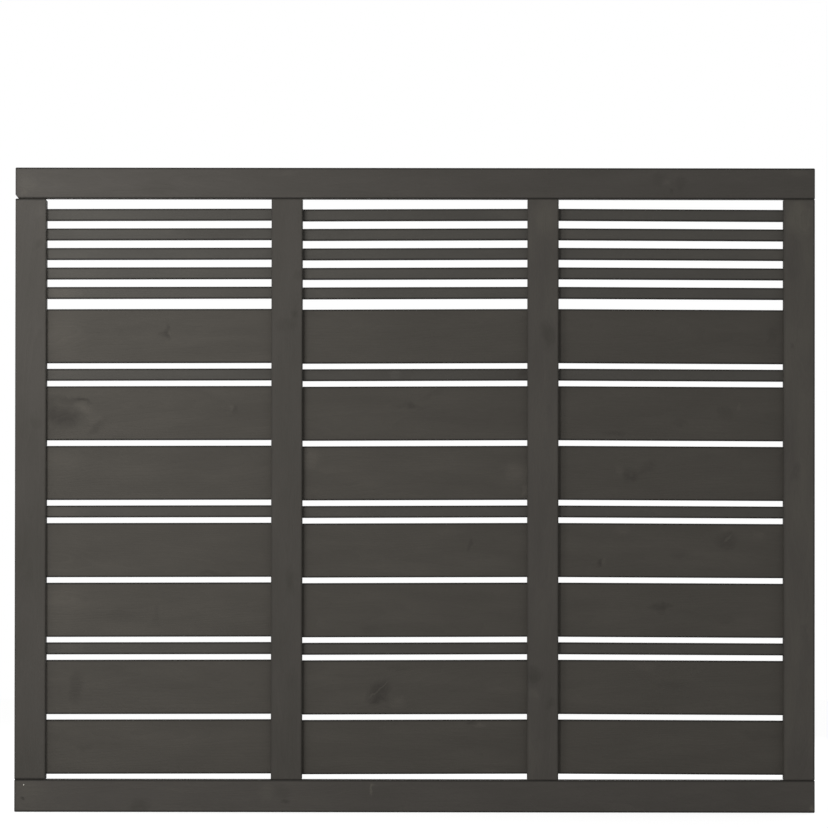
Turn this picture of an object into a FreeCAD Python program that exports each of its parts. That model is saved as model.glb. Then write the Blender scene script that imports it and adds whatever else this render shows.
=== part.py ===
import FreeCAD, Part
import math
import os

from FreeCAD import Vector

# A framed fence panel of stained softwood. Two rails and four stiles are joined with
# blind tenons, and level slats are held by their ends in grooves along the stiles.
# All sizes are in millimetres. X runs along the panel, the front faces -Y, Z is up.
# The origin is at the centre of the left end, the flat face that is fixed to a post.

# Frame timber
panel_width = 1800.0
frame_depth = 45.0
stile_width = 70.0
top_rail_height = 70.0
bottom_rail_height = 73.0
frame_edge_radius = 3.0
frame_end_chamfer = 1.5

# Tenons on the ends of the stiles, and the mortises in the rails
tenon_thickness = 15.0
tenon_length = 45.0
tenon_edge_radius = 4.0
mortise_clearance = 0.3
mortise_end_play = 2.0

# Slats, and the grooves that hold their ends
wide_board_height = 122.0
narrow_slat_height = 27.0
slat_thickness = 16.0
slat_edge_radius = 2.0
slat_end_play = 1.5
groove_depth = 15.0
groove_clearance = 0.3

# Rows, from the top rail down
top_slat_count = 5
gap_under_top_rail = 22.0
gap_between_top_slats = 17.0
gap_under_top_slats = 23.0
board_gap = 12.4
lower_rows = ("board", "slat", "board", "board", "slat", "board", "board", "slat", "board", "board")

# The slats were fixed a little out of level: how far they rise across a bay
left_bay_rise = 1.5
middle_bay_rise = 2.0
right_bay_rise = -2.0

# Damage: the top rail's lower left corner and the left end stile's inner top corner
# are broken off
rail_chip_width = 7.0
rail_chip_height = 9.0
stile_chip_width = 4.0
stile_chip_height = 5.0

# Names, from the left end to the right
stile_names = ("left_end_stile", "left_middle_stile", "right_middle_stile", "right_end_stile")
bay_rises = {
    "left_bay": left_bay_rise,
    "middle_bay": middle_bay_rise,
    "right_bay": right_bay_rise,
}

# Widths and heights that follow from those above
bay_width = (panel_width - len(stile_names) * stile_width) / len(bay_rises)
bay_pitch = bay_width + stile_width
row_heights = {"board": wide_board_height, "slat": narrow_slat_height}
top_slats_height = (
    gap_under_top_rail
    + top_slat_count * narrow_slat_height
    + (top_slat_count - 1) * gap_between_top_slats
    + gap_under_top_slats
)
stile_height = top_slats_height + sum(row_heights[row] + board_gap for row in lower_rows)
panel_height = top_rail_height + stile_height + bottom_rail_height
panel_top = panel_height / 2
panel_bottom = -panel_height / 2
stile_top = panel_top - top_rail_height
stile_bottom = panel_bottom + bottom_rail_height


def block(x_min, x_max, depth, z_min, z_max):
    """A square-edged block, centred on the panel's mid plane."""
    corner = Vector(x_min, -depth / 2, z_min)
    return Part.makeBox(x_max - x_min, depth, z_max - z_min, corner)


def edges_along(shape, axis):
    """The straight edges of a block that run along an axis."""
    return [edge for edge in shape.Edges if abs(edge.tangentAt(0).dot(axis)) > 0.5]


def end_edges(shape, axis):
    """The edges around both ends of a piece of timber that runs along an axis."""
    edges = []
    for face in shape.Faces:
        if abs(face.normalAt(0, 0).dot(axis)) > 0.5 and face.Surface.TypeId == "Part::GeomPlane":
            edges += face.OuterWire.Edges
    return edges


def planed(x_min, x_max, z_min, z_max, axis):
    """Frame timber along an axis, with rounded long edges and eased ends."""
    timber = block(x_min, x_max, frame_depth, z_min, z_max)
    timber = timber.makeFillet(frame_edge_radius, edges_along(timber, axis))
    return timber.makeChamfer(frame_end_chamfer, end_edges(timber, axis))


def tenon_shape(centre, z_min, z_max, clearance):
    """A tenon with rounded upright edges, or its mortise where there is clearance."""
    half_width = stile_width / 2 - groove_depth + clearance
    thickness = tenon_thickness + 2 * clearance
    shape = block(centre - half_width, centre + half_width, thickness, z_min, z_max)
    return shape.makeFillet(tenon_edge_radius + clearance, edges_along(shape, Vector(0, 0, 1)))


def stile_centre(number):
    """The middle of a stile, counted from 0 at the left end."""
    return stile_width / 2 + number * bay_pitch


def rail(z_min, z_max, mortise_bottom, mortise_top):
    """A rail runs the whole width, and has a blind mortise for each stile."""
    timber = planed(0, panel_width, z_min, z_max, Vector(1, 0, 0))
    for number in range(len(stile_names)):
        centre = stile_centre(number)
        mortise = tenon_shape(centre, mortise_bottom, mortise_top, mortise_clearance)
        timber = timber.cut(mortise)
    return timber


def stile(number):
    """A stile stands between the rails, grooved on each side that faces a bay."""
    centre = stile_centre(number)
    left_edge = centre - stile_width / 2
    right_edge = centre + stile_width / 2
    groove_width = slat_thickness + 2 * groove_clearance
    timber = planed(left_edge, right_edge, stile_bottom, stile_top, Vector(0, 0, 1))
    if number > 0:
        inner_edge = left_edge + groove_depth
        timber = timber.cut(block(left_edge, inner_edge, groove_width, stile_bottom, stile_top))
    if number < len(stile_names) - 1:
        inner_edge = right_edge - groove_depth
        timber = timber.cut(block(inner_edge, right_edge, groove_width, stile_bottom, stile_top))
    tenon_bottom = stile_bottom - tenon_length
    tenon_top = stile_top + tenon_length
    return timber.fuse(tenon_shape(centre, tenon_bottom, tenon_top, 0))


def slat(bay, rise, z_max, height):
    """A slat with rounded long edges, whose ends lie in the grooves beside its bay."""
    length = bay_width + 2 * (groove_depth - slat_end_play)
    timber = block(-length / 2, length / 2, slat_thickness, -height / 2, height / 2)
    timber = timber.makeFillet(slat_edge_radius, edges_along(timber, Vector(1, 0, 0)))
    slope = math.degrees(math.atan(rise / bay_width))
    timber.rotate(Vector(0, 0, 0), Vector(0, -1, 0), slope)
    bay_centre = stile_width + bay_width / 2 + bay * bay_pitch
    timber.translate(Vector(bay_centre, 0, z_max - height / 2))
    return timber


def broken_corner(timber, x, z, width, height):
    """Timber with a corner broken off through its depth, this far along X and Z."""
    corner = Vector(x, -frame_depth, z)
    outline = [corner, corner + Vector(width, 0, 0), corner + Vector(0, 0, height), corner]
    chip = Part.Face(Part.makePolygon(outline)).extrude(Vector(0, 2 * frame_depth, 0))
    return timber.cut(chip)


def save(shape, name):
    shape.exportStep(os.path.join("parts", name + ".step"))


os.makedirs("parts", exist_ok=True)

# Rails
mortise_depth = tenon_length + mortise_end_play
top_rail = rail(stile_top, panel_top, stile_top, stile_top + mortise_depth)
save(broken_corner(top_rail, 0, stile_top, rail_chip_width, rail_chip_height), "top_rail")
save(rail(panel_bottom, stile_bottom, stile_bottom - mortise_depth, stile_bottom), "bottom_rail")

# Stiles
for number, name in enumerate(stile_names):
    timber = stile(number)
    if number == 0:
        timber = broken_corner(timber, stile_width, stile_top, -stile_chip_width, -stile_chip_height)
    save(timber, name)

# Slats, bay by bay: the top ones share a file, and each lower row has its own
for bay, (bay_name, rise) in enumerate(bay_rises.items()):
    row_top = stile_top - gap_under_top_rail
    top_slats = []
    for row in range(top_slat_count):
        top_slats.append(slat(bay, rise, row_top, narrow_slat_height))
        row_top -= narrow_slat_height + gap_between_top_slats
    save(Part.makeCompound(top_slats), bay_name + "_top_slats")

    row_top = stile_top - top_slats_height
    counts = {"board": 0, "slat": top_slat_count}
    for row in lower_rows:
        counts[row] += 1
        save(slat(bay, rise, row_top, row_heights[row]), f"{bay_name}_{row}_{counts[row]}")
        row_top -= row_heights[row] + board_gap
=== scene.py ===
import math
import random

import bpy
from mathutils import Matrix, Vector


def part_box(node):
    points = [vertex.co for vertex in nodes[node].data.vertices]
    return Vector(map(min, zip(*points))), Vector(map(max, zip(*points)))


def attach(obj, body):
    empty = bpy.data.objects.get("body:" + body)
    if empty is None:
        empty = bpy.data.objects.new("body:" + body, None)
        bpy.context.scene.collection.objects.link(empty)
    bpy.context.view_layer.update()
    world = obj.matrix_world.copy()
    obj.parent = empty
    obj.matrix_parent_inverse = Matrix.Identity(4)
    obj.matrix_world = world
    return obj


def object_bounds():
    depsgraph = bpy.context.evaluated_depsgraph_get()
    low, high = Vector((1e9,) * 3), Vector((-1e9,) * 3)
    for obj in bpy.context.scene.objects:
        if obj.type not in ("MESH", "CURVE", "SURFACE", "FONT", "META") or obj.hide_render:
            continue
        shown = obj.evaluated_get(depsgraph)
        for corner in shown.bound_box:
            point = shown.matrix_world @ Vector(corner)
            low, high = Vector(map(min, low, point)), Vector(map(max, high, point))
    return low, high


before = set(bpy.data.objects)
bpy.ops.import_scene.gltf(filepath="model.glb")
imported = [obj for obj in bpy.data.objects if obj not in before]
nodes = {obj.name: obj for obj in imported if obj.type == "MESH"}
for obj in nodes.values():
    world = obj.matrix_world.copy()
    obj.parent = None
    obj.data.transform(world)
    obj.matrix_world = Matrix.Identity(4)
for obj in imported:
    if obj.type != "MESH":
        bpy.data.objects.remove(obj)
cad_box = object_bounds()
chance = random.Random(1450)


# Top rail and bottom rail
# Planed spruce, the whole width of the panel, with eased ends. The stiles' tenons are
# glued and pinned in mortises along the inner edge. Painted shade darkens the arrises.


def linear(hex_colour):
    """An sRGB colour, written #rrggbb, as the linear RGBA that a shader takes."""
    channels = [int(hex_colour[i : i + 2], 16) / 255 for i in (1, 3, 5)]
    curve = [c / 12.92 if c <= 0.04045 else ((c + 0.055) / 1.055) ** 2.4 for c in channels]
    return (*curve, 1.0)


def add(tree, kind, inputs, **properties):
    """Adds a node with its properties, and sets or links each of its inputs."""
    node = tree.nodes.new("ShaderNode" + kind)
    for name, value in properties.items():
        setattr(node, name, value)
    for name, value in inputs.items():
        if isinstance(value, bpy.types.NodeSocket):
            tree.links.new(value, node.inputs[name])
        else:
            node.inputs[name].default_value = value
    return node


def wander(tree, coords, feature, reach):
    """Coordinates pushed about by a soft noise: how large its features are, and how far
    it pushes, both in metres."""
    noise = add(tree, "Mapping", {"Vector": coords, "Scale": [1 / size for size in feature]})
    noise = add(tree, "TexNoise", {
        "Vector": noise.outputs[0],
        "Scale": 1.0,
        "Detail": 2.0,
        "Roughness": 0.45,
    })
    push = add(tree, "VectorMath", {
        0: noise.outputs["Color"],
        1: (0.5, 0.5, 0.5),
    }, operation="SUBTRACT")
    push = add(tree, "VectorMath", {0: push.outputs[0], 1: reach}, operation="MULTIPLY")
    return add(tree, "VectorMath", {0: coords, 1: push.outputs[0]}).outputs[0]


# A mark's outline bends in large and in small waves, given as shares of its own size. The
# mark is full in its core, and far deeper than the timber is thick, as a branch is
LARGE_WAVE = 1.6
SMALL_WAVE = 0.5
MARK_CORE = 0.8
MARK_DEPTH = 0.4


def marks_on(tree, marks, coords):
    """How much darker a piece's knots make it, and how much lighter its rubbed places, in 8-bit
    levels; some marks are painted light, and some painted shade. A mark is (x, z, half length,
    half height, slant, levels darker)."""
    spread = sum(mark[2] + mark[3] for mark in marks) / (2 * len(marks))
    small = SMALL_WAVE * spread
    coords = wander(tree, coords, (LARGE_WAVE * spread,) * 3, (spread, 0, spread))
    coords = wander(tree, coords, (small,) * 3, (small, 0, small))
    total = 0.0
    for x, z, half_length, half_height, slant, darker in marks:
        spot = add(tree, "Mapping", {
            "Vector": coords,
            "Location": (x, 0, z),
            "Rotation": (0, math.radians(-slant), 0),
            "Scale": (half_length, MARK_DEPTH, half_height),
        }, vector_type="TEXTURE")
        spot = add(tree, "TexGradient", {"Vector": spot.outputs[0]}, gradient_type="SPHERICAL")
        spot = add(tree, "MapRange", {
            "Value": spot.outputs["Fac"],
            "From Max": MARK_CORE,
            "To Max": darker,
        }, interpolation_type="SMOOTHSTEP")
        total = add(tree, "Math", {0: total, 1: spot.outputs[0]}).outputs[0]
    return total


# Where a piece came out of its log: metres along it, the pith's distance behind the face and
# its share of the piece's width from the middle, the grain's tilt and slope in degrees, and
# how long the grain's waves are and how far they reach
LOG_LENGTH = 3
PITH_DEPTH = (0.035, 0.09)
PITH_ACROSS = 0.35
GRAIN_TILT = 2.2
GRAIN_SLOPE = 2.5
GRAIN_WAVE = (0.31, 0.07, 0.07)
GRAIN_REACH = (0, 0.03, 0.03)
# Growth rings of fast-grown spruce, fibre streaks drawn coarse enough to show from afar,
# the fibres themselves, and the patches that a brush leaves
RING_WIDTH = 0.0042
WAVE_RINGS_PER_UNIT = 20 / (2 * math.pi)
STREAK_SIZE = (0.085, 0.0026, 0.0026)
FIBRE_SIZE = (0.018, 0.0005, 0.0005)
COAT_PATCH = (0.17, 0.042, 0.042)
# For each level that a knot is darker, how far it pushes the rings, and how much stronger
# they show there
KNOT_PUSH = 1.8
KNOT_RINGS = 0.25
# The stain's tone runs from 0 to 1, dark to light, over this many 8-bit levels
TONE_LEVELS = 28
COAT_LEVELS = 11
STREAK_LEVELS = 4
FIBRE_LEVELS = 9
RING_LEVELS = 1.3
SLAT_LEVELS = 2.5
# Painted shade on the arrises and in the joint lines, seen from the face and down the edge,
# full over a part of its width, and how softly it goes from the lower arris's strength to the
# upper one's
PAINTED_ARRIS_SHADE = "#24221f"
PAINTED_ARRIS_SHADE_SHARE = 0.9
ARRIS_WIDTH = 0.0044
ARRIS_DEPTH = 0.004
ARRIS_FULL = 0.7
SIDES_BLEND = 0.001
# The relief under the coat is shallow, and latewood and fibres stand up less than streaks
RELIEF_DEPTH = 0.0003
RELIEF_STRENGTH = 0.6
RING_RELIEF = 0.5
FIBRE_RELIEF = 0.6
# Matt, and with little gloss
ROUGHNESS = (0.55, 0.7)
STAIN_IOR = 1.5
STAIN_GLOSS = 0.15


def stained_softwood(
    name,
    box,
    length,
    width,
    turn,
    stain,
    lighter=0.0,
    marks=(),
    slat_pitch=None,
    arris_shade=(1.0, 1.0, 1.0),
):
    """Opaque wood stain, brushed on planed spruce: matt, almost one colour, with the
    growth rings and fibres just showing through as lines and as a shallow relief, soft
    dark knots that the grain runs round, some marks of painted light and painted shade, and
    painted shade darkening the arrises. The turn brings the material's X along the grain,
    lighter is in 8-bit levels, and arris_shade is for the lower (or left) arrises, the upper (or
    right) ones and the ends."""
    material = bpy.data.materials.new(name)
    material.use_nodes = True
    tree = material.node_tree
    tree.nodes.clear()
    low, high = box

    # The piece's own frame, with X along the grain and Z across its face
    coords = add(tree, "TexCoord", {}).outputs["Object"]
    local = add(tree, "Mapping", {
        "Vector": coords,
        "Location": (low + high) / 2,
        "Rotation": (0, turn, 0),
    }, vector_type="TEXTURE").outputs[0]

    # Where the piece was sawn from the log: the pith's place beside it, and a small tilt
    pith_depth = chance.choice((-1, 1)) * chance.uniform(*PITH_DEPTH)
    pith_across = chance.uniform(-PITH_ACROSS, PITH_ACROSS) * width
    along = chance.uniform(-LOG_LENGTH, LOG_LENGTH)
    tilt = math.radians(chance.uniform(-GRAIN_TILT, GRAIN_TILT))
    slope = math.radians(chance.uniform(-GRAIN_SLOPE, GRAIN_SLOPE))
    log = add(tree, "Mapping", {
        "Vector": local,
        "Location": (along, pith_depth, pith_across),
        "Rotation": (0, tilt, slope),
    }).outputs[0]
    log = wander(tree, log, GRAIN_WAVE, GRAIN_REACH)

    # Growth rings, which close round each knot and show more strongly there
    phase = 0.0
    ring_levels = RING_LEVELS
    if marks:
        darker = marks_on(tree, marks, coords)
        phase = add(tree, "Math", {0: darker, 1: KNOT_PUSH}, operation="MULTIPLY").outputs[0]
        ring_levels = add(tree, "Math", {0: darker}, operation="ABSOLUTE").outputs[0]
        ring_levels = add(tree, "Math", {
            0: ring_levels,
            1: KNOT_RINGS,
            2: RING_LEVELS,
        }, operation="MULTIPLY_ADD").outputs[0]
    rings = add(tree, "TexWave", {
        "Vector": log,
        "Scale": 1 / (RING_WIDTH * WAVE_RINGS_PER_UNIT),
        "Distortion": 1.2,
        "Detail": 2.0,
        "Detail Scale": 0.4,
        "Phase Offset": phase,
    }, wave_type="RINGS", rings_direction="X", wave_profile="SAW").outputs["Fac"]

    # Streaks of fibre, single fibres, and the coat of stain, which was brushed along the
    # grain and is a little uneven from place to place. Each lightens the tone by its levels
    pattern_levels = COAT_LEVELS + STREAK_LEVELS + FIBRE_LEVELS - RING_LEVELS
    tone = TONE_LEVELS / 2 + lighter - pattern_levels / 2
    patterns = []
    for size, detail, roughness, levels in (
        (COAT_PATCH, 3.0, 0.5, COAT_LEVELS),
        (STREAK_SIZE, 3.0, 0.6, STREAK_LEVELS),
        (FIBRE_SIZE, 2.0, 0.6, FIBRE_LEVELS),
    ):
        pattern = add(tree, "Mapping", {"Vector": log, "Scale": [1 / side for side in size]})
        pattern = add(tree, "TexNoise", {
            "Vector": pattern.outputs[0],
            "Scale": 1.0,
            "Detail": detail,
            "Roughness": roughness,
        }).outputs["Fac"]
        tone = add(tree, "Math", {0: pattern, 1: levels, 2: tone}, operation="MULTIPLY_ADD")
        tone = tone.outputs[0]
        patterns.append(pattern)
    _, streaks, fibres = patterns
    lines = add(tree, "Math", {0: rings, 1: ring_levels}, operation="MULTIPLY").outputs[0]
    tone = add(tree, "Math", {0: tone, 1: lines}, operation="SUBTRACT").outputs[0]
    if marks:
        tone = add(tree, "Math", {0: tone, 1: darker}, operation="SUBTRACT").outputs[0]

    # Across the face, from the middle of the piece, or of each slat where a node has several
    place = add(tree, "SeparateXYZ", {"Vector": local})
    across = place.outputs["Z"]
    if slat_pitch:
        row = add(tree, "Math", {0: across, 1: slat_pitch / 2}).outputs[0]
        row = add(tree, "Math", {0: row, 1: slat_pitch}, operation="SNAP").outputs[0]
        row = add(tree, "TexWhiteNoise", {"W": row}, noise_dimensions="1D").outputs["Value"]
        row = add(tree, "Math", {0: row, 1: 0.5}, operation="SUBTRACT").outputs[0]
        tone = add(tree, "Math", {0: row, 1: SLAT_LEVELS, 2: tone}, operation="MULTIPLY_ADD")
        tone = tone.outputs[0]
        across = add(tree, "Math", {
            0: across,
            1: slat_pitch / 2,
            2: -slat_pitch / 2,
        }, operation="WRAP").outputs[0]
    tone = add(tree, "Math", {0: tone, 1: TONE_LEVELS}, operation="DIVIDE").outputs[0]
    dark, mid, light = stain
    ramp = add(tree, "ValToRGB", {"Fac": tone})
    ramp.color_ramp.elements[0].color = linear(dark)
    ramp.color_ramp.elements[1].color = linear(light)
    ramp.color_ramp.elements.new(0.5).color = linear(mid)
    colour = ramp.outputs["Color"]

    # Painted shade on the arrises along the piece and at its ends
    edges = []
    for distance, half, band in (
        (place.outputs["X"], length / 2, ARRIS_WIDTH),
        (across, width / 2, ARRIS_WIDTH),
        (place.outputs["Y"], (high.y - low.y) / 2, ARRIS_DEPTH),
    ):
        away = add(tree, "Math", {0: distance}, operation="ABSOLUTE").outputs[0]
        edges.append(add(tree, "MapRange", {
            "Value": away,
            "From Min": half - band,
            "From Max": half - band * ARRIS_FULL,
        }).outputs[0])
    end, side, face = edges
    low_side, high_side, at_ends = arris_shade
    strength = add(tree, "MapRange", {
        "Value": across,
        "From Min": -SIDES_BLEND,
        "From Max": SIDES_BLEND,
        "To Min": low_side,
        "To Max": high_side,
    }).outputs[0]
    side = add(tree, "Math", {0: side, 1: strength}, operation="MULTIPLY").outputs[0]
    end = add(tree, "Math", {0: end, 1: at_ends}, operation="MULTIPLY").outputs[0]
    edge = add(tree, "Math", {0: end, 1: side}, operation="MAXIMUM").outputs[0]
    edge = add(tree, "Math", {0: edge, 1: face}, operation="MULTIPLY").outputs[0]
    edge = add(tree, "Math", {0: edge, 1: PAINTED_ARRIS_SHADE_SHARE}, operation="MULTIPLY").outputs[0]
    colour = add(tree, "Mix", {
        0: edge,
        6: colour,
        7: linear(PAINTED_ARRIS_SHADE),
    }, data_type="RGBA").outputs[2]

    # Relief: raised fibres and latewood under the coat
    height = add(tree, "Math", {
        0: rings,
        1: RING_RELIEF,
        2: streaks,
    }, operation="MULTIPLY_ADD").outputs[0]
    height = add(tree, "Math", {
        0: fibres,
        1: FIBRE_RELIEF,
        2: height,
    }, operation="MULTIPLY_ADD").outputs[0]
    bump = add(tree, "Bump", {
        "Height": height,
        "Strength": RELIEF_STRENGTH,
        "Distance": RELIEF_DEPTH,
    }).outputs[0]
    rough = add(tree, "MapRange", {
        "Value": streaks,
        "To Min": ROUGHNESS[0],
        "To Max": ROUGHNESS[1],
    }).outputs[0]
    shader = add(tree, "BsdfPrincipled", {
        "Base Color": colour,
        "Roughness": rough,
        "Normal": bump,
        "IOR": STAIN_IOR,
        "Specular IOR Level": STAIN_GLOSS,
    })
    add(tree, "OutputMaterial", {"Surface": shader.outputs[0]})
    return material


def finish(node, material):
    """Puts a material on all of a CAD node."""
    for slot in nodes[node].material_slots:
        slot.material = material


# The stain's colour where it lies thick, on most of the timber, and where it is thin
FRAME_STAIN = ("#32302b", "#403d39", "#4f4c45")
ALONG_X = 0.0
RAIL_MARKS = {
    "top_rail": [
        (0.024, 0.694, 0.034, 0.034, 0, -4),
        (0.018, 0.668, 0.012, 0.010, 0, -5),
        (0.327, 0.683, 0.070, 0.024, 0, 2.5),
        (0.615, 0.711, 0.020, 0.010, 0, -3),
        (1.448, 0.700, 0.024, 0.018, 0, 4),
        (1.466, 0.690, 0.012, 0.012, 40, -5),
        (1.499, 0.693, 0.022, 0.022, 0, 4),
        (1.477, 0.676, 0.009, 0.010, 0, 6),
        (1.765, 0.712, 0.040, 0.012, 0, -4),
    ],
    "bottom_rail": [
        # Painted shade: a dark spot for the sunk brad's hole
        (0.0200, -0.6928, 0.006, 0.006, 0, 14),
        # Painted light: the rail's left end made lighter
        (0.034, -0.690, 0.060, 0.060, 0, -4),
        (0.281, -0.712, 0.032, 0.022, 0, 6),
        (0.610, -0.699, 0.014, 0.009, 0, 8),
        (0.604, -0.677, 0.024, 0.024, 0, 3),
        (0.566, -0.676, 0.024, 0.030, -20, -4),
        (0.804, -0.675, 0.006, 0.022, -6, -12),
        (0.808, -0.666, 0.010, 0.006, 20, -8),
        (1.795, -0.714, 0.008, 0.014, 0, -14),
    ],
}
RAIL_LIGHTER = {"top_rail": -1.7, "bottom_rail": -0.5}
# Painted shade on a rail's lower arris, its upper one, and at its ends
RAIL_ARRIS_SHADE = (1.0, 1.0, 0.4)
for name, marks in RAIL_MARKS.items():
    low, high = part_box(name)
    finish(name, stained_softwood(
        "stained_spruce_" + name,
        (low, high),
        length=high.x - low.x,
        width=high.z - low.z,
        turn=ALONG_X,
        stain=FRAME_STAIN,
        lighter=RAIL_LIGHTER[name],
        marks=marks,
        arris_shade=RAIL_ARRIS_SHADE,
    ))


# Four stiles
# Planed spruce like the rails, grooved on the sides that face a bay. Their ends butt
# against the rails in a fine dark joint line, with the tenons out of sight.

ALONG_Z = math.radians(90)
TENON_LENGTH = 0.045
STILE_MARKS = {
    "left_end_stile": [
        (0.045, 0.148, 0.014, 0.030, 0, 3),
        (0.050, 0.551, 0.020, 0.014, 45, 3),
        (0.040, 0.620, 0.030, 0.034, 0, -2.5),
        # Painted light on the stile's upper half, and painted shade just below its middle
        (0.035, 0.282, 0.060, 0.150, 0, -3.5),
        (0.035, -0.140, 0.060, 0.150, 0, 3),
    ],
    "left_middle_stile": [
        (0.628, 0.394, 0.012, 0.014, 0, 5),
        (0.610, 0.370, 0.034, 0.022, 0, 3.5),
        (0.637, 0.482, 0.014, 0.016, 0, 4),
        (0.622, -0.203, 0.018, 0.044, 0, 3.5),
        (0.624, -0.428, 0.018, 0.036, 0, 2.5),
    ],
    "right_middle_stile": [
        (1.197, 0.352, 0.028, 0.042, 0, 7),
        (1.168, -0.415, 0.028, 0.028, 0, 8),
        (1.169, -0.457, 0.018, 0.020, 0, -4),
        (1.206, -0.482, 0.014, 0.018, 0, 5),
        (1.190, 0.610, 0.044, 0.060, 0, -6),
    ],
    "right_end_stile": [
        (1.752, 0.500, 0.022, 0.056, 0, 3),
        (1.742, 0.319, 0.006, 0.012, 0, 5),
        (1.758, 0.040, 0.014, 0.030, 0, 3),
        (1.779, -0.324, 0.012, 0.034, 0, 2.5),
        (1.766, 0.610, 0.044, 0.060, 0, -7.5),
        (1.766, 0.330, 0.060, 0.100, 0, -2.5),
        (1.766, -0.620, 0.050, 0.090, 0, 3),
    ],
}
STILE_LIGHTER = {
    "left_end_stile": -4.0,
    "left_middle_stile": -3.5,
    "right_middle_stile": 0.8,
    "right_end_stile": 3.0,
}
# The painted shade on a stile's left arris, its right one, and in its joint lines
STILE_ARRIS_SHADE = {
    "left_end_stile": (0.2, 0.3, 1.0),
    "left_middle_stile": (0.3, 0.2, 0.2),
    "right_middle_stile": (0.3, 0.3, 0.0),
    "right_end_stile": (0.3, 0.7, 0.3),
}
for name, marks in STILE_MARKS.items():
    low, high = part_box(name)
    finish(name, stained_softwood(
        "stained_spruce_" + name,
        (low, high),
        length=high.z - low.z - 2 * TENON_LENGTH,
        width=high.x - low.x,
        turn=ALONG_Z,
        stain=FRAME_STAIN,
        lighter=STILE_LIGHTER[name],
        marks=marks,
        arris_shade=STILE_ARRIS_SHADE[name],
    ))


# Slats of the three bays
# Sawn and planed spruce boards, 16 mm thick, pushed into the stiles' grooves bay by bay.
# The narrow ones took the stain a little more thinly than the wide ones.

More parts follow.
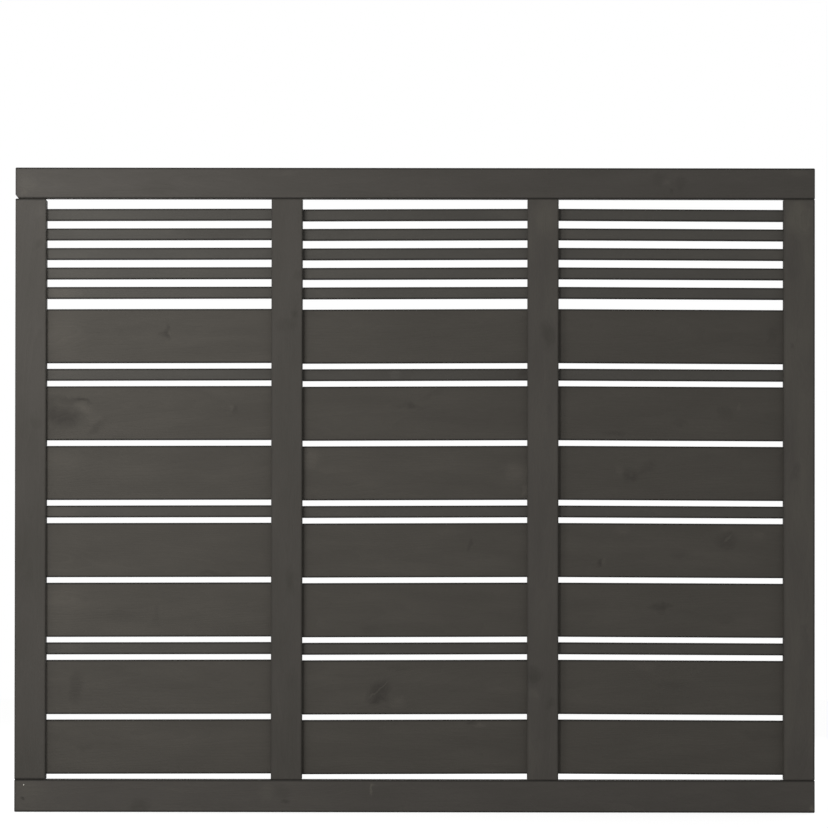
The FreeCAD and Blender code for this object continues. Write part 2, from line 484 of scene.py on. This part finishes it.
BOARD_STAIN = ("#312e2a", "#3f3c37", "#4e4a44")
SLAT_STAIN = ("#33302c", "#413f3b", "#504c46")
BOARD_WIDTH = 0.122
SLAT_WIDTH = 0.027
TOP_SLAT_PITCH = 0.044
BAY_WIDTH = 0.50667
BAY_RISES = {"left_bay": 0.0015, "middle_bay": 0.002, "right_bay": -0.002}
SLAT_MARKS = {
    "left_bay_top_slats": [
        # Painted light: the left end made lighter
        (0.105, 0.4435, 0.060, 0.022, 0, -8),
        (0.105, 0.5755, 0.040, 0.022, 0, 2),
        (0.450, 0.5755, 0.150, 0.022, 0, 4.5),
    ],
    "left_bay_board_1": [
        (0.339, 0.362, 0.010, 0.030, -8, 6),
        (0.333, 0.349, 0.016, 0.010, 0, 6),
        (0.343, 0.351, 0.005, 0.007, 0, -8),
        (0.257, 0.357, 0.060, 0.014, 0, 2),
        # Painted light: the left end made lighter
        (0.105, 0.348, 0.080, 0.090, 0, -4),
    ],
    "left_bay_board_2": [
        (0.112, 0.164, 0.050, 0.033, -6, 11),
        (0.117, 0.203, 0.048, 0.016, 0, 5),
        (0.079, 0.183, 0.022, 0.036, 0, 6),
        (0.149, 0.201, 0.030, 0.006, -18, 9),
        (0.144, 0.182, 0.034, 0.018, 0, -6.5),
        (0.176, 0.166, 0.040, 0.022, -40, -4),
        (0.184, 0.139, 0.038, 0.012, 40, 6),
        (0.496, 0.178, 0.008, 0.018, 0, 5),
        (0.487, 0.184, 0.008, 0.016, 0, -4),
    ],
    # Painted light: the left end made lighter
    "left_bay_board_3": [(0.105, 0.042, 0.080, 0.090, 0, -4)],
    # Painted light: the left end made lighter
    "left_bay_slat_7": [(0.105, -0.046, 0.080, 0.040, 0, -4)],
    "left_bay_board_4": [
        (0.445, -0.182, 0.054, 0.010, 0, 5),
        # Painted light: the left end made lighter
        (0.105, -0.133, 0.080, 0.090, 0, -3),
    ],
    "left_bay_board_5": [
        (0.241, -0.286, 0.044, 0.022, 0, 2.5),
        (0.311, -0.288, 0.012, 0.032, 0, 2.5),
        # Painted light: the left end made lighter
        (0.105, -0.268, 0.080, 0.090, 0, -4),
    ],
    # Painted light: the left end made lighter
    "left_bay_slat_8": [(0.105, -0.355, 0.080, 0.040, 0, -4)],
    "left_bay_board_6": [(0.137, -0.449, 0.021, 0.048, -12, 5.5)],
    "left_bay_board_7": [(0.161, -0.581, 0.026, 0.010, 0, 3)],
    "middle_bay_top_slats": [
        (0.700, 0.5755, 0.080, 0.022, 0, 3.5),
        (1.110, 0.6195, 0.080, 0.022, 0, -3.5),
        (0.700, 0.4435, 0.080, 0.022, 0, -2.5),
    ],
    "middle_bay_slat_6": [
        (0.855, 0.262, 0.022, 0.018, 0, -7),
        (1.143, 0.262, 0.018, 0.020, 0, 4),
    ],
    "middle_bay_board_2": [
        (0.885, 0.189, 0.060, 0.010, 0, 3.5),
        (0.891, 0.191, 0.012, 0.010, 0, 5),
        (0.940, 0.216, 0.036, 0.009, 20, 3),
    ],
    "middle_bay_board_3": [
        (0.662, 0.070, 0.034, 0.034, 0, -8),
        (1.128, 0.042, 0.044, 0.034, 0, -8),
        (1.146, -0.002, 0.012, 0.018, 0, -8),
    ],
    "middle_bay_board_4": [
        (1.025, -0.126, 0.008, 0.024, -20, 6),
        (0.985, -0.090, 0.060, 0.012, 0, -3),
    ],
    "middle_bay_board_5": [(0.800, -0.315, 0.030, 0.010, 0, 3)],
    "middle_bay_board_6": [
        (0.820, -0.452, 0.044, 0.028, 50, 10),
        (0.828, -0.443, 0.024, 0.0035, 42, -12),
        (0.810, -0.459, 0.018, 0.003, 30, -9),
        (0.816, -0.472, 0.018, 0.010, 20, 6),
        (0.858, -0.480, 0.026, 0.022, 0, -5),
        (0.866, -0.400, 0.040, 0.009, 0, 3),
    ],
    "middle_bay_board_7": [
        (1.044, -0.529, 0.020, 0.009, 0, -7),
        (1.026, -0.5255, 0.022, 0.007, 0, 9),
        (1.016, -0.634, 0.026, 0.008, 0, 4),
        (1.070, -0.634, 0.034, 0.010, 0, -4),
    ],
    "right_bay_top_slats": [(1.705, 0.5315, 0.080, 0.200, 0, -2.5)],
    "right_bay_board_1": [(1.705, 0.345, 0.018, 0.028, 0, 4)],
    "right_bay_board_2": [
        (1.598, 0.178, 0.024, 0.018, 0, 4),
        (1.496, 0.152, 0.026, 0.012, 0, 3),
        (1.631, 0.190, 0.006, 0.016, 0, -4),
        (1.352, 0.126, 0.040, 0.008, 0, 4),
    ],
    "right_bay_board_3": [
        (1.385, 0.032, 0.028, 0.024, 0, 6.5),
        (1.385, 0.036, 0.011, 0.009, 0, -4),
        (1.425, 0.052, 0.030, 0.016, 28, 4),
        (1.360, 0.044, 0.014, 0.022, 0, -4),
    ],
    "right_bay_board_4": [
        (1.602, -0.113, 0.034, 0.028, 0, 7),
        (1.606, -0.110, 0.016, 0.005, 45, -9),
        (1.601, -0.086, 0.026, 0.010, 0, -4),
        (1.367, -0.090, 0.026, 0.014, 0, -4),
        (1.326, -0.163, 0.007, 0.014, 0, -5),
        (1.315, -0.166, 0.010, 0.012, 0, 8),
        (1.495, -0.146, 0.024, 0.011, 0, 3.5),
        (1.675, -0.101, 0.022, 0.013, 0, -4),
    ],
    "right_bay_board_5": [
        (1.456, -0.260, 0.034, 0.012, 0, 6),
        (1.454, -0.269, 0.014, 0.014, 0, 3),
        (1.600, -0.291, 0.026, 0.014, 0, 2.5),
    ],
    "right_bay_board_6": [
        (1.480, -0.436, 0.044, 0.014, 0, 3),
        (1.424, -0.395, 0.032, 0.013, 0, -4),
    ],
    "right_bay_board_7": [(1.690, -0.552, 0.070, 0.014, -6, 3)],
}
SLAT_LIGHTER = {
    "left_bay_board_5": 1.2,
    "middle_bay_board_1": -0.9,
    "middle_bay_board_2": -1.1,
    "middle_bay_slat_6": -4.5,
    "middle_bay_slat_8": -0.8,
    "right_bay_board_1": -2.0,
    "right_bay_board_2": -1.2,
    "right_bay_board_3": -1.5,
    "right_bay_slat_6": -2.0,
}
for bay, rise in BAY_RISES.items():
    slope = -math.atan(rise / BAY_WIDTH)
    for name in sorted(node for node in nodes if node.startswith(bay)):
        low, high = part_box(name)
        wide = "board" in name
        finish(name, stained_softwood(
            "stained_spruce_" + name,
            (low, high),
            length=high.x - low.x,
            width=BOARD_WIDTH if wide else SLAT_WIDTH,
            turn=slope,
            stain=BOARD_STAIN if wide else SLAT_STAIN,
            lighter=SLAT_LIGHTER.get(name, 0.0),
            marks=SLAT_MARKS.get(name, ()),
            slat_pitch=TOP_SLAT_PITCH if name.endswith("top_slats") else None,
        ))


# Brads that pin the tenons
# Galvanised wire brads, driven through the rails into the stiles' tenons, two at a joint.
# Two show on the front, one bright and one sunk, whose hole is painted shade: a dark head and a
# dark spot on the rail. The rest are at the back.

HEAD_RADIUS = 0.0012
HEAD_THICKNESS = 0.0005
SHANK_RADIUS = 0.00065
SHANK_LENGTH = 0.006
DISH_RADIUS = 0.0006
DISH_DEPTH = 0.00015
FRAME_FACE = 0.0225
HEAD_PROUD = 0.00025
SUNK_PROUD = 0.0001
SPANGLE_SIZE = 0.0006
SPANGLE_ROUGHNESS = 0.1


def drawn_steel(name, colour, roughness):
    """Galvanised steel, drawn wire with a stamped head: a dull grey metal whose zinc
    spangle varies its gloss."""
    material = bpy.data.materials.new(name)
    material.use_nodes = True
    tree = material.node_tree
    tree.nodes.clear()
    coords = add(tree, "TexCoord", {}).outputs["Object"]
    spangle = add(tree, "TexVoronoi", {"Vector": coords, "Scale": 1 / SPANGLE_SIZE})
    rough = add(tree, "MapRange", {
        "Value": spangle.outputs["Distance"],
        "To Min": roughness - SPANGLE_ROUGHNESS,
        "To Max": roughness + SPANGLE_ROUGHNESS,
    }).outputs[0]
    shader = add(tree, "BsdfPrincipled", {
        "Base Color": linear(colour),
        "Metallic": 1.0,
        "Roughness": rough,
    })
    add(tree, "OutputMaterial", {"Surface": shader.outputs[0]})
    return material


# A face looks in a direction if its normal's share of it is more than this, and faces this
# close together, in metres, lie in one plane
FACING = 0.9
SAME_PLANE = 1e-5


def select_outermost(piece, direction):
    """Selects the faces of a piece that look in a direction and lie furthest out."""
    bpy.ops.object.mode_set(mode="EDIT")
    bpy.ops.mesh.select_mode(type="FACE")
    bpy.ops.mesh.select_all(action="DESELECT")
    bpy.ops.object.mode_set(mode="OBJECT")
    furthest = max(face.center.dot(direction) for face in piece.data.polygons)
    for face in piece.data.polygons:
        outermost = face.center.dot(direction) > furthest - SAME_PLANE
        face.select = outermost and face.normal.dot(direction) > FACING
    bpy.ops.object.mode_set(mode="EDIT")


# One brad, whose head looks to the front, with its outer face in the plane of Y = 0
bpy.ops.object.select_all(action="DESELECT")
bpy.ops.mesh.primitive_cylinder_add(
    vertices=20,
    radius=HEAD_RADIUS,
    depth=HEAD_THICKNESS,
    location=(0, HEAD_THICKNESS / 2, 0),
    rotation=(math.radians(90), 0, 0),
)
brad = bpy.context.object
bpy.ops.object.transform_apply(location=True, rotation=True)

# The shank, drawn in from the inner side of the head
select_outermost(brad, Vector((0, 1, 0)))
bpy.ops.mesh.inset(thickness=HEAD_RADIUS - SHANK_RADIUS)
bpy.ops.mesh.extrude_region_move(TRANSFORM_OT_translate={"value": (0, SHANK_LENGTH, 0)})
bpy.ops.object.mode_set(mode="OBJECT")

# The dish that the driver leaves in the head
select_outermost(brad, Vector((0, -1, 0)))
for ring in range(2):
    bpy.ops.mesh.inset(thickness=(HEAD_RADIUS - DISH_RADIUS) / 2)
bpy.ops.transform.translate(value=(0, DISH_DEPTH, 0))
bpy.ops.object.mode_set(mode="OBJECT")
bpy.ops.object.shade_smooth_by_angle(angle=math.radians(35))


def drive_brad(name, x, z, proud, material, at_back=False):
    """A copy of the brad in its place, with its head this far out of the rail's face."""
    bpy.ops.object.select_all(action="DESELECT")
    piece = brad.copy()
    piece.data = brad.data.copy()
    piece.name = piece.data.name = name
    bpy.context.collection.objects.link(piece)
    out = 1 if at_back else -1
    piece.location = (x, out * (FRAME_FACE + proud), z)
    piece.rotation_euler.z = math.pi if at_back else 0.0
    piece.select_set(True)
    bpy.context.view_layer.objects.active = piece
    bpy.ops.object.transform_apply(location=True, rotation=True)
    piece.data.materials.append(material)
    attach(piece, "root")


bright_wire = drawn_steel("galvanised_brad_wire", "#a9a79f", 0.45)
# Dark wire, stained on the back brads, and on the front painted shade for the sunk brad's hole
dark_wire_and_hole_shade = drawn_steel("stained_brad_wire_and_hole_shade", "#2a2826", 0.7)
drive_brad("brad_bottom_left_upper", 0.0212, -0.664, HEAD_PROUD, bright_wire)
# The sunk brad, whose dark head is painted shade for its hole
drive_brad("brad_bottom_left_lower", 0.0200, -0.6928, SUNK_PROUD, dark_wire_and_hole_shade)
# The height of the joint line at each end of a stile, and which way the rail lies from it
JOINTS = {"top": (0.655, 1), "bottom": (-0.652, -1)}
# Each brad's place at a joint: beside the stile's middle, and past the joint line
BACK_BRADS = ((-0.012, 0.012), (0.012, 0.034))
for stile_name in STILE_MARKS:
    low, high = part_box(stile_name)
    middle = (low.x + high.x) / 2
    for end, (joint_z, away) in JOINTS.items():
        for number, (beside, beyond) in enumerate(BACK_BRADS, start=1):
            drive_brad(
                f"brad_back_{end}_{stile_name}_{number}",
                middle + beside,
                joint_z + away * beyond,
                SUNK_PROUD,
                dark_wire_and_hole_shade,
                at_back=True,
            )
bpy.data.objects.remove(brad)


# Camera
# A long lens square to the panel at its mid height, tipped up a little, so that the
# panel stands low in the picture.

CAMERA_PLACE = (0.91835, -13.0, 0.0)
CAMERA_TIP = math.radians(0.7541)
CAMERA_TURN = math.radians(0.090)
CAMERA_ROLL = math.radians(0.0715)
CAMERA_LENS = 250.77
SENSOR_WIDTH = 36
bpy.ops.object.select_all(action="DESELECT")
bpy.ops.object.camera_add(location=CAMERA_PLACE)
camera = bpy.context.object
camera.rotation_euler = (math.radians(90) + CAMERA_TIP, 0, CAMERA_TURN)
camera.rotation_euler.rotate_axis("Z", CAMERA_ROLL)
camera.data.lens = CAMERA_LENS
camera.data.sensor_width = SENSOR_WIDTH
bpy.context.scene.camera = camera


# Studio
# A white floor, and a white backdrop without an end. A soft key lamp stands up and to the
# left, two weak ones light the left end from close by, and one behind is for the back.

bpy.context.scene.view_settings.view_transform = "Standard"


def seen_white(tree):
    """1 for rays from the camera, a gloss or a clear surface, and 0 for the light's own."""
    path = add(tree, "LightPath", {})
    seen = path.outputs["Is Camera Ray"]
    for ray in ("Is Glossy Ray", "Is Transmission Ray"):
        seen = add(tree, "Math", {0: seen, 1: path.outputs[ray]}, operation="MAXIMUM").outputs[0]
    return seen


WHITE = (1, 1, 1, 1)
SKY_LEVEL = 0.52
world = bpy.data.worlds.new("white_backdrop")
bpy.context.scene.world = world
world.use_nodes = True
tree = world.node_tree
tree.nodes.clear()
level = add(tree, "MapRange", {"Value": seen_white(tree), "To Min": SKY_LEVEL, "To Max": 1.0})
backdrop = add(tree, "Background", {"Color": WHITE, "Strength": level.outputs[0]})
add(tree, "OutputWorld", {"Surface": backdrop.outputs[0]})

# The floor bounces light as white paint does, and is seen white, with the panel's shadow:
# a glow, to which the light on it adds the rest
FLOOR_WIDTH = 14
FLOOR_DROP = 0.0005
FLOOR_PAINT = (0.8, 0.8, 0.8, 1)
FLOOR_SHADE = (0.35, 0.35, 0.35, 1)
FLOOR_GLOW = 0.8
PANEL_MIDDLE = (0.9, 0, 0)
paint = bpy.data.materials.new("white_studio_floor")
paint.use_nodes = True
tree = paint.node_tree
tree.nodes.clear()
bounce = add(tree, "BsdfDiffuse", {"Color": FLOOR_PAINT})
shade = add(tree, "BsdfDiffuse", {"Color": FLOOR_SHADE})
glow = add(tree, "Emission", {"Color": WHITE, "Strength": FLOOR_GLOW})
white = add(tree, "AddShader", {0: shade.outputs[0], 1: glow.outputs[0]})
both = add(tree, "MixShader", {0: seen_white(tree), 1: bounce.outputs[0], 2: white.outputs[0]})
add(tree, "OutputMaterial", {"Surface": both.outputs[0]})
bpy.ops.object.select_all(action="DESELECT")
floor_place = (PANEL_MIDDLE[0], 0, cad_box[0].z - FLOOR_DROP)
bpy.ops.mesh.primitive_plane_add(size=FLOOR_WIDTH, location=floor_place)
floor = bpy.context.object
floor.name = "white_floor"
bpy.ops.object.transform_apply(location=True)
floor.data.materials.append(paint)


def softbox(name, place, aim, width, watts):
    """A square area lamp, aimed at a point, that the camera doesn't see."""
    bpy.ops.object.select_all(action="DESELECT")
    bpy.ops.object.light_add(type="AREA", location=place)
    lamp = bpy.context.object
    lamp.name = name
    lamp.rotation_euler = (Vector(aim) - Vector(place)).to_track_quat("-Z", "Y").to_euler()
    lamp.data.size = width
    lamp.data.energy = watts
    lamp.visible_camera = False


# Each lamp's place, aim, width in metres and power in watts
softbox("key_softbox", (-1.9, -6.5, 1.8), PANEL_MIDDLE, 1.0, 172)
softbox("corner_softbox", (-0.1, -1.0, 0.8), (0.1, 0, 0.4), 0.4, 7.4)
softbox("low_softbox", (0.0, -0.8, -0.4), (0.1, 0, -0.4), 0.4, 0.95)
softbox("back_softbox", (2.5, 3.2, 1.1), PANEL_MIDDLE, 1.0, 45)
